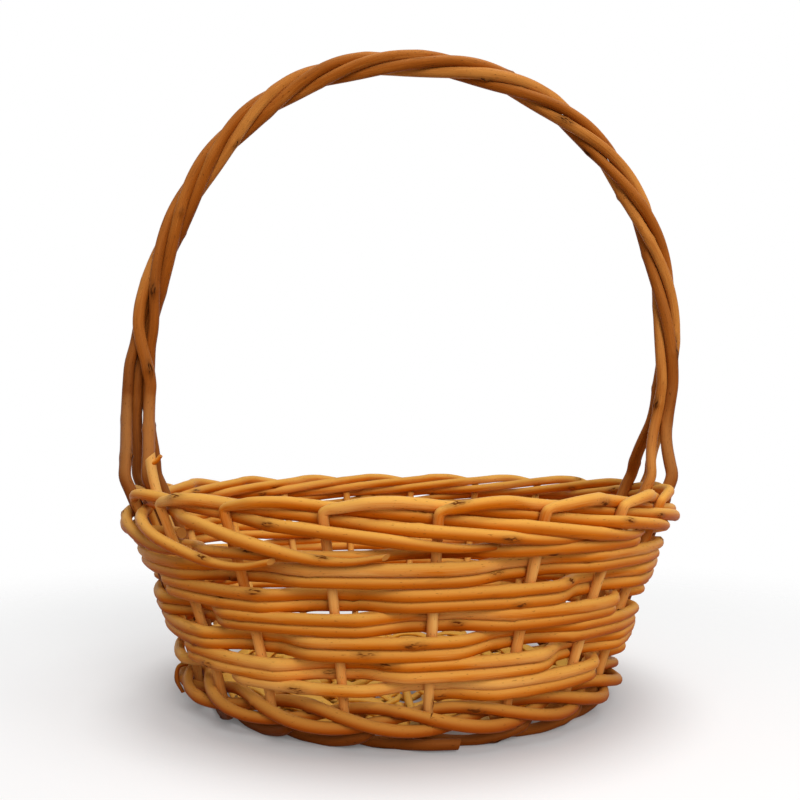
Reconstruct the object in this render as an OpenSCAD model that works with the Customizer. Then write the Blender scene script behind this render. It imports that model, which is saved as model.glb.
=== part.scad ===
// Round market basket of willow rods: a stick base, side stakes that roll over into the border,
// rods woven two together round the stakes, a scalloped foot and a twisted rod handle.
// X runs from handle foot to handle foot, -Y is the front, Z is up, and the foot stands on Z = 0.

/* [Basket] */
// Length across the stake line at the rim, along X
rim_length = 284; // [250:1:320]
// Width across the stake line at the rim, along Y
rim_width = 266; // [230:1:300]
// Length across the stake line at the base, along X
base_length = 214; // [190:1:235]
// Width across the stake line at the base, along Y
base_width = 200; // [180:1:220]
// Height at which the stakes bend over into the border
rim_height = 104.5; // [90:0.5:130]
// Height of the base sticks above the ground
base_height = 9; // [8:0.5:14]
// How far the wall bellies out between base and rim, or flares in where it is below zero
wall_belly = -1.5; // [-4:0.5:5]
// Gap left between rods that press on each other
rod_gap = 0.25; // [0.1:0.05:0.4]

/* [Stakes and border] */
// Base sticks that run from front to back
cross_sticks = 5; // [3:2:7]
// Base sticks that run from side to side
long_sticks = 4; // [3:1:5]
// Thickness of a stake
stake_d = 4.4; // [3.6:0.1:5]
// Turn of the first stake from the front of the basket
first_stake = 6.3; // [0:0.1:9]

/* [Weave] */
// Thickness of a weaving rod
weaver_d = 4.6; // [3.8:0.1:5.2]
// Rods worked together round the wall
band_rods = 2; // [2:1:3]
// Lengths of rod joined end to end in each row
joined_rods = 6; // [4:1:8]
// Least gap between one row and the next
row_gap = 0.3; // [0.2:0.1:1]
// Stakes passed from the first stake to the start of the weave
weave_start = 10; // [0:1:18]

/* [Base] */
// Thickness of a base stick
stick_d = 4.4; // [3.6:0.1:5]
// Width of a split base strip
strip_w = 5.6; // [4:0.1:6]
// Thickness of a split base strip
strip_t = 1.8; // [1.4:0.1:2.4]
// Rounds of strip woven through the base sticks
base_rounds = 8; // [6:2:8]
// Thickness of a foot rod
foot_d = 4.8; // [3.8:0.1:5]

/* [Handle] */
// Thickness of a handle rod
handle_d = 5.6; // [4.8:0.1:6]
// Rods twisted together in the handle
handle_rods = 4; // [4:1:4]
// Height of the whole basket to the top of the handle
handle_top = 358; // [320:1:400]
// Width of the handle between the middles of its legs, at the widest
handle_width = 298; // [280:1:320]
// Height at which the handle is widest
handle_spring = 166; // [160:1:185]
// Quarter turns that the rods make from one leg to the other
handle_quarters = 14; // [8:1:16]
// How far the arch of the handle sways to the right, halfway up
handle_sway = 5; // [0:0.5:8]
// Height above the rim at which the handle rods are gathered into one bundle
gather_rise = 58; // [40:1:60]
// Height of the lower ends of the handle rods inside the wall
handle_foot = 34; // [30:1:60]
// Length of the wedge peg beside the left leg
peg_length = 46; // [36:1:60]

/* [Hidden] */
stake_count = 2 * (cross_sticks + long_sticks) + 1;
stake_turn = 360 / stake_count;
rod_sides = 6;

// Wall heights
foot_flat = 0.5;
wale_clear = 3;
wale_swell = (weaver_d + 2 * rod_gap) / sqrt(3);
wale_dip = 3;
wale_height = base_height + (stake_d + weaver_d) / 2 + wale_clear;
weave_low = wale_height + wale_swell + weaver_d + row_gap;
border_step = stake_d + rod_gap;
border_drop = 4.5;
border_over = 2;
weave_high = rim_height - border_over * border_step - (stake_d + weaver_d) / 2 - rod_gap;

// Weave swing from inside to outside of the stakes, wide enough to pass a handle rod
thick_d = max(stake_d, handle_d);
weave_swing = (thick_d + weaver_d) / 2 + 1.5 * rod_gap;
wale_reach = (stake_d + weaver_d) / 2 + 2.5 * rod_gap;

// Rows of the weave: behind one stake and in front of two, with the band's rods spread round the wall
weave_cycle = 3;
weave_turns = [0.22, 0.78, 1.26, 1.74, 2.22, 2.78];
weave_ramp = 0.28;
band_lead = weave_cycle * round(stake_count / (weave_cycle * band_rods));
least_pitch = (weaver_d + row_gap) * stake_count / band_lead;
weave_spans = weave_cycle * floor((weave_high - weave_low) * stake_count / (weave_cycle * least_pitch));
weave_pitch = (weave_high - weave_low) * stake_count / weave_spans;

// Way of each stake's upper end through the border: stakes passed, side of the wall, steps above the bend
border_way = [
    [0.04, 0.00, 0.00],
    [0.14, 0.00, 0.50],
    [0.40, 0.00, 0.95],
    [0.62, -0.45, 0.95],
    [0.82, -1.00, 0.72],
    [1.02, -1.05, 0.50],
    [1.50, -1.00, 0.00],
    [2.00, -1.05, -0.55],
    [2.22, -0.55, -0.80],
    [2.45, 0.30, -0.95],
    [2.80, 1.00, -1.20],
    [3.20, 1.15, -1.60],
    [3.60, 1.65, -2.15],
    [4.00, 2.05, -2.80],
    [4.40, 2.05, -3.60],
    [4.75, 2.05, -border_drop]
];
border_reach = (thick_d + stake_d) / 2 + rod_gap;

// Base: each stake tail lies beside the end of a base stick
tail_lead = (stake_d + stick_d) / 2 + rod_gap;
tail_inner = 0.70;
tail_outer = 0.94;
stick_end = 0.93;
fan_start = 0.30;
strip_inner = 0.36;
strip_outer = 0.87;
strip_swing = (max(stake_d, stick_d) + strip_t) / 2 + rod_gap;
strip_flat = 0.74;
binding_inner = 0.21;
binding_outer = 0.30;
binding_ramp = 0.12;
binding_w = 0.75 * strip_w;
foot_lap = 0.25;
foot_inner = -4.6;
foot_outer = 5;
foot_low = foot_d / 2 - foot_flat;
foot_high = base_height - 0.35 * foot_d;

// Handle: a square bundle that opens into two pairs of rods at each leg
bundle_r = (handle_d + 2 * rod_gap) / sqrt(2);
handle_half = handle_width / 2;
handle_peak = handle_top - bundle_r - handle_d / 2;
handle_round = 2.3;
leg_clear = 4;
leg_straight = 12;
gather_height = rim_height + gather_rise;
leg_side = (stake_d + handle_d) / 2 + rod_gap;
leg_inner = -(weave_swing + (weaver_d + handle_d) / 2 + 2 * rod_gap);
leg_lean = handle_half - (rim_length + leg_inner) / 2;
left_stake = round((-90 - first_stake) / stake_turn);
right_stake = round((90 - first_stake) / stake_turn);
peg_d = stake_d;
peg_rise = 22;

natural = [0.80, 0.56, 0.27];
brown = [0.52, 0.29, 0.12];
split = [0.90, 0.72, 0.42];

STAKES = [for (k = [1:stake_count]) str("stake_", k)];
WEAVERS = [for (s = [1:band_rods]) for (j = [1:joined_rods]) str("weaver_", s, "_", j)];
WALES = [for (s = [1:3]) str("wale_rod_", s)];
STICKS = [for (k = [1:cross_sticks + long_sticks + 1]) str("base_stick_", k)];
STRIPS = [for (k = [1:base_rounds / 2]) str("base_strip_", k)];
HANDLES = [for (k = [1:handle_rods]) str("handle_rod_", k)];

// Points on the wall and floor
function wall_share(z) = (z - base_height) / (rim_height - base_height);
function wall_half(base, rim, z) =
    let (q = wall_share(z))
    (base + (rim - base) * q) / 2 + 4 * wall_belly * q * (1 - q);
function half_x(z) = wall_half(base_length, rim_length, z);
function half_y(z) = wall_half(base_width, rim_width, z);
function stake_angle(u) = first_stake + u * stake_turn;
function span_length(z) = PI * (half_x(z) + half_y(z)) / stake_count;
function wall_point(u, z, out) =
    let (t = stake_angle(u), a = half_x(z), b = half_y(z))
    [a * sin(t), -b * cos(t), z] + out * unit([sin(t) / a, -cos(t) / b, 0]);
function floor_point(u, share, side, z) =
    let (t = stake_angle(u), a = base_length / 2, b = base_width / 2)
    [share * a * sin(t), -share * b * cos(t), z] + side * unit([a * cos(t), b * sin(t), 0]);

// Vector helpers
function unit(v) = v / norm(v);
function mix(a, b, share) = a + (b - a) * share;
function limit(x) = max(-1, min(1, x));
function ease(x) = let (q = max(0, min(1, x))) q * q * (3 - 2 * q);
function heading(path, i) =
    let (a = max(i - 1, 0), b = min(i + 1, len(path) - 1))
    i == a || i == b ? unit(path[b] - path[a]) : unit(unit(path[b] - path[i]) + unit(path[i] - path[a]));
function square_to(v, along) = unit(v - (v * along) * along);

// Normals along a path: held near one direction, or carried along from the start
function held_normals(path, v) = [for (i = [0:len(path) - 1]) square_to(v, heading(path, i))];
function carried_normals(path, v) = [
    for (
        i = 0, n = square_to(v, heading(path, 0));
        i < len(path);
        i = i + 1, n = square_to(n, heading(path, min(i, len(path) - 1)))
    ) n
];

// Rod drawn along a path with a given outline across it
function round_outline(d) = [
    for (k = [0:rod_sides - 1]) d / 2 * [cos(360 * k / rod_sides), sin(360 * k / rod_sides)]
];
function flat_outline(w, t) = [[t / 2, -w / 2], [t / 2, w / 2], [-t / 2, w / 2], [-t / 2, -w / 2]];

module rod(path, normals, outline) {
    m = len(outline);
    last = len(path) - 1;
    points = [
        for (i = [0:last])
            let (n = normals[i], b = cross(heading(path, i), n))
            for (p = outline) path[i] + p[0] * n + p[1] * b
    ];
    sides = [
        for (i = [0:last - 1]) for (k = [0:m - 1])
            let (a = i * m + k, b = i * m + (k + 1) % m)
            for (face = [[a, a + m, b + m], [a, b + m, b]]) face
    ];
    ends = [[for (k = [0:m - 1]) k], [for (k = [0:m - 1]) last * m + m - 1 - k]];
    polyhedron(points = points, faces = concat(sides, ends));
}

// Stake: a tail in the base, the upright, and the upper end worked through the border
function tail_turn(k) = k - tail_lead / span_length(base_height);
function tail_point(k, share) = floor_point(tail_turn(k), share, tail_lead, base_height);
function stake_path(k) = concat(
    [tail_point(k, tail_inner), tail_point(k, tail_outer)],
    [wall_point(k, base_height + stake_d / 2, 0)],
    [for (q = [0.14, 0.4, 0.7, 0.95]) wall_point(k, mix(base_height, rim_height, q), 0)],
    [for (w = border_way) wall_point(k + w[0], rim_height + w[2] * border_step, w[1] * border_reach)]
);

module stake(k) {
    path = stake_path(k);
    color(natural) rod(path, carried_normals(path, [0, 0, 1]), round_outline(stake_d));
}

// Weaving rod: behind one stake and in front of the next two, rising round the wall
function weave_side(u) =
    let (x = (u - weave_start) % weave_cycle, near = min(x, weave_cycle - x))
    weave_swing * limit((near - 0.5) / weave_ramp);
function rod_start(s) = weave_start + s * band_lead;
function weave_point(s, u) =
    wall_point(u, weave_low + weave_pitch * (u - rod_start(s)) / stake_count, weave_side(u));
function rod_joint(j) = weave_cycle * round(weave_spans * j / (weave_cycle * joined_rods));

module weaver(s, j) {
    start = rod_start(s) + rod_joint(j);
    end = rod_start(s) + rod_joint(j + 1);
    turns = concat(
        [start + 0.02],
        [for (u = [start:weave_cycle:end - 1]) for (f = weave_turns) u + f],
        [end - 0.02]
    );
    path = [for (u = turns) weave_point(s, u)];
    color(natural) rod(path, held_normals(path, [0, 0, 1]), round_outline(weaver_d));
}

// Wale rod: in front of two stakes and behind one, twined with its two fellows
function wale_point(s, u) =
    let (phase = 120 * (u - s))
    wall_point(
        u,
        wale_height + wale_swell * sin(phase) - wale_dip * (1 - cos(phase)) / 2,
        wale_reach / 3 - wale_reach * 4 / 3 * cos(phase)
    );

module wale_rod(s) {
    steps = 3 * stake_count;
    path = [for (i = [0:steps]) wale_point(s, 0.03 + i * (stake_count - 0.06) / steps)];
    color(natural) rod(path, held_normals(path, [0, 0, 1]), round_outline(weaver_d));
}

// Base sticks: two crossed bundles that fan out evenly, and one short stick that makes the count odd
function fan_points(k, shares) = [for (q = shares) floor_point(tail_turn(k), q, 0, base_height)];
bundle_end = (max(cross_sticks, long_sticks) / 2 + 0.5) * (stick_d + rod_gap);
bundle_lift = (stick_d + rod_gap) / 2;
front_side = (cross_sticks - 1) / 2;
function bundle_knee(place) = bundle_end + 3 * place;

module cross_stick(j) {
    x = j * (stick_d + rod_gap);
    right_back = 2 * front_side + long_sticks + 1 - j;
    left_back = stake_count - long_sticks - 2 * front_side - 1 - j;
    back = j >= 0 ? right_back : left_back;
    path = concat(
        fan_points(j, [stick_end, 0.6, fan_start]),
        [for (f = [-1, 1]) [x, f * bundle_knee(front_side - abs(j)), base_height + bundle_lift]],
        fan_points(back, [fan_start, 0.6, stick_end])
    );
    color(split) rod(path, held_normals(path, [0, 0, 1]), round_outline(stick_d));
}

module long_stick(i) {
    y = (i - (long_sticks - 1) / 2) * (stick_d + rod_gap);
    path = concat(
        fan_points(-front_side - 1 - i, [stick_end, 0.6, fan_start]),
        [for (f = [-1, 1]) [f * bundle_knee(min(i, long_sticks - 1 - i)), y, base_height - bundle_lift]],
        fan_points(front_side + 1 + i, [fan_start, 0.6, stick_end])
    );
    color(split) rod(path, held_normals(path, [0, 0, 1]), round_outline(stick_d));
}

module short_stick() {
    path = fan_points(front_side + long_sticks + front_side + 2, [stick_end, 0.6, fan_start]);
    color(split) rod(path, held_normals(path, [0, 0, 1]), round_outline(stick_d));
}

module base_stick(k) {
    if (k < cross_sticks) cross_stick(k - front_side);
    else if (k < cross_sticks + long_sticks) long_stick(k - cross_sticks);
    else short_stick();
}

// Base strips: split rod woven over and under the base sticks in a growing spiral
strip_shift = tail_lead / span_length(base_height) - 0.05;
function strip_point(u) =
    floor_point(
        u,
        mix(strip_inner, strip_outer, u / (base_rounds * stake_count)),
        0,
        base_height + strip_swing * limit(cos(180 * (u + strip_shift)) / strip_flat)
    );

module base_strip(k) {
    spans = 2 * stake_count;
    turns = [for (u = [k * spans:(k + 1) * spans - 1]) for (f = [0.25, 0.75]) u + f - strip_shift];
    path = [for (u = turns) strip_point(u)];
    color(split) rod(path, held_normals(path, [0, 0, 1]), flat_outline(strip_w, strip_t));
}

// Base binding: two rounds of strip, over the sticks from side to side and under the others
binding_group = [
    front_side + 0.5,
    front_side + long_sticks + 0.5,
    front_side + long_sticks + cross_sticks + 1.5,
    front_side + 2 * long_sticks + cross_sticks + 1.5
];
binding_sides = [
    for (i = [0:3]) for (f = [-1, 1]) [binding_group[i] + binding_ramp * f, i % 2 == 0 ? f : -f]
];
function binding_lift(share) =
    let (fanned = (share * base_length / 2 - bundle_end) / (fan_start * base_length / 2 - bundle_end))
    strip_swing - bundle_lift * (0.9 - fanned);
function binding_point(w) =
    let (
        share = mix(binding_inner, binding_outer, w / (2 * stake_count)),
        passed = w - stake_count * floor(w / stake_count)
    )
    floor_point(
        tail_turn(w),
        share,
        0,
        base_height + binding_lift(share) * lookup(passed, binding_sides)
    );

module base_binding() {
    path = [for (k = [0:2 * stake_count - 1]) for (f = [-1, 1]) binding_point(k + 0.5 + binding_ramp * f)];
    color(split) rod(path, held_normals(path, [0, 0, 1]), flat_outline(binding_w, strip_t));
}

// Foot rods: one bowed rod under the base edge from each stake to the next, lapped over its neighbours
module foot_rod(k) {
    from = wall_point(k - foot_lap, base_height, foot_inner);
    to = wall_point(k + 1 + foot_lap, base_height, foot_outer);
    half = norm(to - from) / 2;
    sag = foot_high - foot_low;
    bow = (half * half + sag * sag) / (2 * sag);
    sweep = asin(half / bow);
    middle = (from + to) / 2;
    translate([middle[0], middle[1], foot_low + bow])
        rotate([90, 0, atan2(to[1] - from[1], to[0] - from[0])])
            rotate([0, 0, -90 - sweep])
                rotate_extrude(angle = 2 * sweep, $fn = 48)
                    translate([bow, 0])
                        circle(d = foot_d, $fn = 24);
}

module foot_rods() {
    color(brown)
        difference() {
            for (k = [0:stake_count - 1]) foot_rod(k);
            translate([0, 0, -foot_d]) cube([2 * base_length, 2 * base_width, 2 * foot_d], center = true);
        }
}

// Handle rods: an arch of twisted rods whose ends go down beside the stakes at each side
function arch_power(x) = sign(x) * pow(abs(x), 2 / handle_round);
function arch_point(t) =
    let (rise = arch_power(sin(t)))
    [
        handle_half * arch_power(cos(t)) + 4 * handle_sway * rise * (1 - rise),
        0,
        handle_spring + (handle_peak - handle_spring) * rise
    ];
function leg_x(z) =
    handle_half - leg_lean * pow((handle_spring - z) / (handle_spring - rim_height), 2);
function leg_shift(z) = -handle_sway / 2 * sin(180 * (handle_spring - z) / (handle_spring - rim_height));
function slot_side(k) = k == 0 || k == 3 ? 0 : leg_inner;
function slot_stake(k) = k < 2 ? 0 : 1;
function bundle_point(centre, out, turn) =
    centre + bundle_r * (cos(turn) * out + sin(turn) * [0, -1, 0]);
function leg_point(side, slot, z) =
    let (
        stake = side < 0 ? left_stake + 1 - slot_stake(slot) : right_stake + slot_stake(slot),
        u = stake - leg_side / span_length(z),
        straight = rim_height + leg_straight,
        gathered = ease((z - rim_height - leg_clear) / (gather_rise - leg_clear)),
        bundled = bundle_point([side * leg_x(z) + leg_shift(z), 0, z], [side, 0, 0], 45 + 90 * slot)
    )
    mix(wall_point(u, min(z, straight), slot_side(slot)) + [0, 0, max(0, z - straight)], bundled, gathered);
function arch_out(t) = unit([cos(t), 0, sin(t)]);
function arch_turn(k, t) = 45 + 90 * (k - handle_quarters * (180 - t) / 180);

module handle_rod(k) {
    low = [for (q = [0:0.25:1]) mix(handle_foot, rim_height + leg_clear, q)];
    high = [for (q = [0.2:0.2:0.8]) mix(rim_height + leg_clear, gather_height, q)];
    neck = [for (q = [0:0.5:0.5]) mix(gather_height, handle_spring, q)];
    leg = concat(low, high, neck);
    arch = [for (t = [180:-6:0]) t];
    right_slot = ((k - handle_quarters) % 4 + 4) % 4;
    path = concat(
        [for (z = leg) leg_point(-1, k, z)],
        [for (t = arch) bundle_point(arch_point(t), arch_out(t), arch_turn(k, t))],
        [for (i = [len(leg) - 1:-1:0]) leg_point(1, right_slot, leg[i])]
    );
    color(brown) rod(path, carried_normals(path, [1, 0, 0]), round_outline(handle_d));
}

// Wedge peg driven down inside the border in front of the left leg
module handle_peg() {
    u = left_stake + 1 + (peg_d + handle_d) / 2 / span_length(rim_height);
    side = -(weave_swing + (weaver_d + peg_d) / 2 + 4 * rod_gap);
    foot = wall_point(u, rim_height + peg_rise - peg_length, side);
    head = wall_point(u, rim_height + peg_rise, side);
    path = [for (q = [0:0.25:1]) mix(foot, head, q)];
    color(natural) rod(path, carried_normals(path, [1, 0, 0]), round_outline(peg_d));
}

for (k = [1:stake_count]) stake(k - 1);
for (s = [1:band_rods]) for (j = [1:joined_rods])
    weaver(s - 1, j - 1);
for (s = [1:3]) wale_rod(s - 1);
for (k = [1:len(STICKS)]) base_stick(k - 1);
for (k = [1:len(STRIPS)]) base_strip(k - 1);
for (k = [1:handle_rods]) handle_rod(k - 1);
base_binding();
foot_rods();
handle_peg();
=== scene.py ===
"""Looks of a round willow market basket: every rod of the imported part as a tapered, knotted willow rod."""

import math
import zlib

import bpy
import numpy as np
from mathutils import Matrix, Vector


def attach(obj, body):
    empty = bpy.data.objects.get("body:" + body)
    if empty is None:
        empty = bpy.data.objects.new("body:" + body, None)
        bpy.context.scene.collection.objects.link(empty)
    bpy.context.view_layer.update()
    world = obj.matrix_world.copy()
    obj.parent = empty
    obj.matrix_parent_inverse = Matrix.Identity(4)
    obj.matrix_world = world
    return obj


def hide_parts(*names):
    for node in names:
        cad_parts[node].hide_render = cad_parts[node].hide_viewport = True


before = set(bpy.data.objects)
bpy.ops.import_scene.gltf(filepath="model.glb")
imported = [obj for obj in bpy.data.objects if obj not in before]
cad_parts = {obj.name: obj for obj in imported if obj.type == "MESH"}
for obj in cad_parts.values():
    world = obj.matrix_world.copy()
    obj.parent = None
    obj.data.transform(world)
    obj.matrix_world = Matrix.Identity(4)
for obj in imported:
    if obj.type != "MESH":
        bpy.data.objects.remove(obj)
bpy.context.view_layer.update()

# Driving sizes in millimetres, as in the part's source but for wider strips and a lower gather at the right
MM = 0.001
RIM = (284.0, 266.0)
BASE = (214.0, 200.0)
RIM_HEIGHT = 104.5
BASE_HEIGHT = 9.0
WALL_BELLY = -1.5
ROD_GAP = 0.25
CROSS_STICKS = 5
LONG_STICKS = 4
FIRST_STAKE = math.radians(6.3)
STAKE_D = 4.4
WEAVER_D = 4.6
ROW_GAP = 0.3
BAND_RODS = 2
JOINED_RODS = 6
WEAVE_START = 10
STICK_D = 4.4
STRIP_W = 6.8
STRIP_T = 1.8
BASE_ROUNDS = 8
FOOT_D = 4.8
HANDLE_D = 5.6
HANDLE_TOP = 358.0
HANDLE_WIDTH = 298.0
HANDLE_SPRING = 166.0
HANDLE_QUARTERS = 14
HANDLE_SWAY = 5.0
LEFT_GATHER = 58.0
RIGHT_GATHER = 46.0
HANDLE_FOOT = 34.0
PEG_LENGTH = 46.0

# Stakes, wale, border and weave worked out from them
STAKES = 2 * (CROSS_STICKS + LONG_STICKS) + 1
STAKE_TURN = 2 * math.pi / STAKES
STAKE_SHARES = (0.14, 0.4, 0.7, 0.92)
WALE_RODS = 3
WALE_CLEAR = 3.0
WALE_DIP = 4.0
WALE_SWELL = (WEAVER_D + 2 * ROD_GAP) / math.sqrt(3)
WALE_HEIGHT = BASE_HEIGHT + (STAKE_D + WEAVER_D) / 2 + WALE_CLEAR
WALE_REACH = (STAKE_D + WEAVER_D) / 2 + 2.5 * ROD_GAP
WALE_OUT = WALE_REACH * 5 / 3
BORDER_STEP = STAKE_D + ROD_GAP
BORDER_OVER = 2.0
BORDER_REACH = (HANDLE_D + STAKE_D) / 2 + ROD_GAP
WEAVE_LOW = WALE_HEIGHT + WALE_SWELL + WEAVER_D + ROW_GAP
WEAVE_HIGH = RIM_HEIGHT - BORDER_OVER * BORDER_STEP - (STAKE_D + WEAVER_D) / 2 - ROD_GAP
WEAVE_SWING = (HANDLE_D + WEAVER_D) / 2 + 1.5 * ROD_GAP
PLAIN_SWING = (STAKE_D + WEAVER_D) / 2 + ROD_GAP
WEAVE_BUNCH = 0.35
WEAVE_LIFT = 0.8
LIFT_REACH = 28.0
WEAVE_MIDDLE = 60.0
WEAVE_CYCLE = 3
BAND_LEAD = WEAVE_CYCLE * round(STAKES / (WEAVE_CYCLE * BAND_RODS))
LEAST_PITCH = (WEAVER_D + ROW_GAP) * STAKES / BAND_LEAD
WEAVE_SPANS = WEAVE_CYCLE * math.floor((WEAVE_HIGH - WEAVE_LOW) * STAKES / (WEAVE_CYCLE * LEAST_PITCH))
WEAVE_PITCH = (WEAVE_HIGH - WEAVE_LOW) * STAKES / WEAVE_SPANS

# Way of each stake's upper end through the border: stakes passed, side of the wall, steps above the bend
BORDER_WAY = [
    (0.00, 0.00, -0.25),
    (0.01, 0.00, 0.08),
    (0.05, 0.00, 0.30),
    (0.14, 0.00, 0.48),
    (0.40, 0.00, 0.88),
    (0.62, -0.45, 0.93),
    (0.82, -1.00, 0.72),
    (1.02, -1.05, 0.50),
    (1.50, -1.00, 0.00),
    (2.00, -1.05, -0.55),
    (2.22, -0.55, -0.80),
    (2.45, 0.30, -1.00),
    (2.80, 0.98, -1.24),
    (3.20, 1.28, -1.64),
    (3.60, 1.45, -2.10),
    (3.95, 1.35, -2.50),
    (4.25, 0.95, -2.68),
    (4.55, 0.45, -2.62),
]
# Unevenness of the border rods: size in steps, spacing and start in stakes passed
BORDER_LOOSE = 0.12
LOOSE_SPACING = 0.9
LOOSE_START = 0.4
# Point of a stake's route at which the rod is folded over
FOLD_POINT = 9
# Further drop in steps and side of border rods: slack ones at the left, tighter ones over the weave's ends
BORDER_SLACK = {
    0: (-0.45, 0.0),
    1: (-0.4, 0.0),
    2: (-0.2, 0.0),
    10: (-0.35, 0.0),
    11: (0.55, 2.4),
    12: (1.6, 1.8),
    13: (2.2, 2.5),
    14: (1.5, 1.9),
    15: (0.3, 1.9),
}
SLACK_WAY = ((2.30, 2.80, 3.20, 3.60, 3.95, 4.25, 4.55), (0.0, 0.2, 0.5, 0.8, 1.0, 1.0, 0.75))
SLACK_HOLD = 0.8

# Points of a weaver or wale rod: gap at its ends, points to a stake, and its way across the wall in stakes
ROD_ENDS = 0.02
WALE_ENDS = 0.005
STAKE_STEPS = 8
CROSS_START = 0.2
CROSS_WAY = 0.6

# Waviness of the weave: of a rod as spacing and size, of the rows as size, times round and start
OUT_WANDER = (90.0, 0.35)
RISE_WANDER = (80.0, 0.2)
ROW_WAVES = ((0.9, 1, 0.2 - math.pi / 2), (0.6, 2, 1.0), (0.4, 3, 0.0))
# Crowding of the rows, as size, height from crowd to crowd and times round
ROW_CROWDS = ((0.5, 41, 2), (0.35, 27, -5))

# Stray side twig that hangs from the wale at the left
TWIG = np.array([(-108.0, -27.0, 19.0), (-114.5, -27.5, 17.5), (-115.5, -28.0, 11.0), (-112.0, -28.5, 4.5)])

# Base
TAIL_LEAD = (STAKE_D + STICK_D) / 2 + ROD_GAP
TAIL_SHARES = (0.70, 0.94)
STICK_SHARES = (0.93, 0.60, 0.30)
STRIP_SHARES = (0.36, 0.895)
STRIP_SWING = (max(STAKE_D, STICK_D) + STRIP_T) / 2 + ROD_GAP
BINDING_SHARES = (0.21, 0.30)
BINDING_RAMP = 0.12
BINDING_W = 4.2
STRIP_ENDS = 0.25
STRIP_STEPS = 12
STRIP_LEAD = 0.05
STRIP_FLAT = 0.3
BINDING_FAN = 0.9
KNEE_STEP = 3
BUNDLE_STEP = STICK_D + ROD_GAP
BUNDLE_END = (max(CROSS_STICKS, LONG_STICKS) / 2 + 0.5) * BUNDLE_STEP
FRONT_SIDE = (CROSS_STICKS - 1) // 2

# Foot
FOOT_LAP = 0.25
FOOT_INNER = -6.0
FOOT_OUTER = 2.5
FOOT_FLAT = 0.5
FOOT_UNDER = 0.35
FOOT_LOW = FOOT_D / 2 - FOOT_FLAT
FOOT_HIGH = BASE_HEIGHT - FOOT_UNDER * FOOT_D
# Outer end of a foot rod, as stakes on, height and way out from the end of its bow
FOOT_TUCK = ((0.11, 2.4, -1.0), (0.20, 5.5, -3.5))
FOOT_LOOSE = STAKES - 1
FOOT_LOOSE_END = ((-0.25, -3.9, 1.0), (0.12, -3.6, 3.0))
FOOT_POINTS = 13
LOOSE_POINTS = 8

# Handle
BUNDLE_R = (HANDLE_D + 2 * ROD_GAP) / math.sqrt(2)
HANDLE_PEAK = HANDLE_TOP - BUNDLE_R - HANDLE_D / 2
LEFT_ROUND = 2.12
RIGHT_ROUND = 2.22
LEG_CLEAR = 4.0
LEG_STRAIGHT = 12.0
LEG_SIDE = (STAKE_D + HANDLE_D) / 2 + ROD_GAP
LEG_INNER = -(WEAVE_SWING + (WEAVER_D + HANDLE_D) / 2 + 2 * ROD_GAP)
LEG_LEAN = HANDLE_WIDTH / 2 - (RIM[0] + LEG_INNER) / 2
LEFT_STAKE = round((-math.pi / 2 - FIRST_STAKE) / STAKE_TURN)
RIGHT_STAKE = round((math.pi / 2 - FIRST_STAKE) / STAKE_TURN)
HANDLE_RODS = 4
LEG_POINTS = 5
GATHER_POINTS = 9
ARCH_POINTS = 61
# Left leg: how far its front rods spread below a height, and its lean inwards round a height
BUNDLE_LOOSE = 1.05
LOOSE_TOP = 235.0
LOOSE_DROP = 70.0
LEFT_SHIFT = 4.2
SHIFT_HEIGHT = 152.0
SHIFT_REACH = 36.0

# Peg, with the stub of a side twig from a place near its head
PEG_RISE = 22.0
PEG_BEND = 5.5
PEG_POINTS = 9
STUB_START = np.array([0.5, -0.5, -4.0])
STUB = np.array([(0.0, 0.0, 0.0), (3.0, -0.6, 1.6), (5.2, -1.0, 4.2)])

# Radii of the rods in millimetres: one, one at each end, a range, or shares of the length and radii there
STAKE_RADII = ((0.0, 0.10, 0.36, 0.48, 0.86, 1.0), (2.0, 2.25, 2.25, 2.8, 2.75, 1.3))
WEAVER_RADII = (2.8, 2.6)
WALE_RADIUS = 2.65
TWIG_RADII = (1.3, 0.9)
STICK_RADIUS = 2.15
FOOT_RADII = (2.4, 2.7)
FOOT_PLACES = (0, 0.1, 0.8, 1)
FOOT_INNER_TIP = 1.8
FOOT_OUTER_TIP = 1.4
HANDLE_RADII = ((3.0, 3.05), (3.3, 2.75))
PEG_RADII = (2.4, 2.7)
STUB_RADII = (1.3, 1.0)

# Tints of the rods, or ranges of them, from the darkest of a willow's colours at 0 to the palest at 1
STAKE_FOOT_TINT = 0.9
STAKE_TIP_TINTS = (0.1, 0.4)
WEAVER_TINTS = (0.25, 0.8)
WALE_TINTS = (-0.1, 0.2)
TWIG_TINT = 0.0
STICK_TINTS = (0.2, 0.6)
STRIP_TINTS = (0.4, 0.7)
BINDING_TINT = 0.5
FOOT_TINTS = (0.0, 0.2)
# Foot rods grow paler towards the right: painted light from the right, painted shade at the left
FOOT_RIGHT_LIGHT = 0.4
FOOT_LIGHT_WAY = 60.0
# Four tints along each handle rod, from its left foot to its right one: the rods differ in colour, and the
# low tints at the left foot are painted shade
HANDLE_TINTS_AND_SHADE = (
    (-0.25, 0.36, 0.42, 0.35),
    (-0.05, 0.74, 0.86, 0.85),
    (-0.2, 0.38, 0.33, 0.15),
    (-0.15, 0.62, 0.73, 0.7),
)
PEG_TINT = 1.0
STUB_TINT = 0.6
CUT_TINT = 0.5

# Slants of the two cut ends of a rod or strip
ROD_CUT = (0.3, 0.3)
STAKE_CUT = (0.2, 1.2)
WEAVER_CUT = (0.5, -0.5)
STRIP_CUT = (0.4, 0.4)
PEG_CUT = (0.2, 0.7)

# Fineness of the meshes: lengths in millimetres, turn from ring to ring, and sides
CURVE_STEP = 0.5
RING_STEP = 4.0
RING_TURN = math.radians(9)
KNOT_STEP = 1.5
KNOT_REACH = 3.5
ROD_SIDES = 12
HANDLE_SIDES = 14
TWIG_SIDES = 8
STRIP_SIDES = 10

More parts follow.
